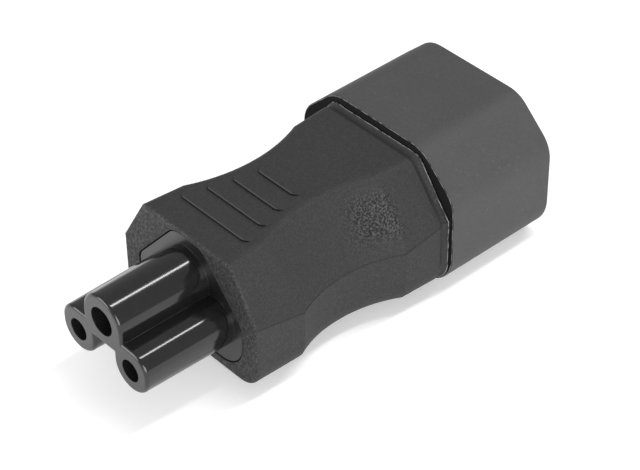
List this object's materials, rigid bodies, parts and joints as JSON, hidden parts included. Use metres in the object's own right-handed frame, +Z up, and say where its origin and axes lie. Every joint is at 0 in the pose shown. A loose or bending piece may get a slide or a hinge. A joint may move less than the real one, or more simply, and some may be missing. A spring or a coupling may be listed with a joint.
{
  "type": "power adapter",
  "caption": "Rigid black moulded power adapter: a shrouded inlet with flat blades at one end, a cloverleaf socket nose at the other, and a waisted grip with thumb ribs between them.",
  "frame": {"origin": "middle of the length and width, at the underside of the inlet shroud", "axes": "+X from the nose tip to the mouth of the inlet, +Y across, +Z up on the earth side"},
  "size_m": [0.062, 0.028, 0.02],
  "materials": {
    "grip": "fine spark-eroded grain",
    "shell": "satin",
    "retainer": "plain moulded",
    "nose": "polished",
    "inner_mould": "plain moulded",
    "plated_blade": "nickel plated",
    "contact_metal": "tumbled",
    "copper_core": "drawn",
    "insulation_line": "extruded",
    "insulation_neutral": "extruded",
    "insulation_earth": "extruded"
  },
  "bodies": {
    "root": {"outer_grip": "grip", "inlet_shell": "shell", "pin_retainer": "retainer", "connector_nose": "nose", "contact_retainer": "retainer", "inner_mould": "inner_mould", "pin_line": "plated_blade", "contact_line": "contact_metal", "core_line": "copper_core", "insulation_line": "insulation_line", "pin_neutral": "plated_blade", "contact_neutral": "contact_metal", "core_neutral": "copper_core", "insulation_neutral": "insulation_neutral", "pin_earth": "plated_blade", "contact_earth": "contact_metal", "core_earth": "copper_core", "insulation_earth": "insulation_earth"}
  },
  "joints": []
}
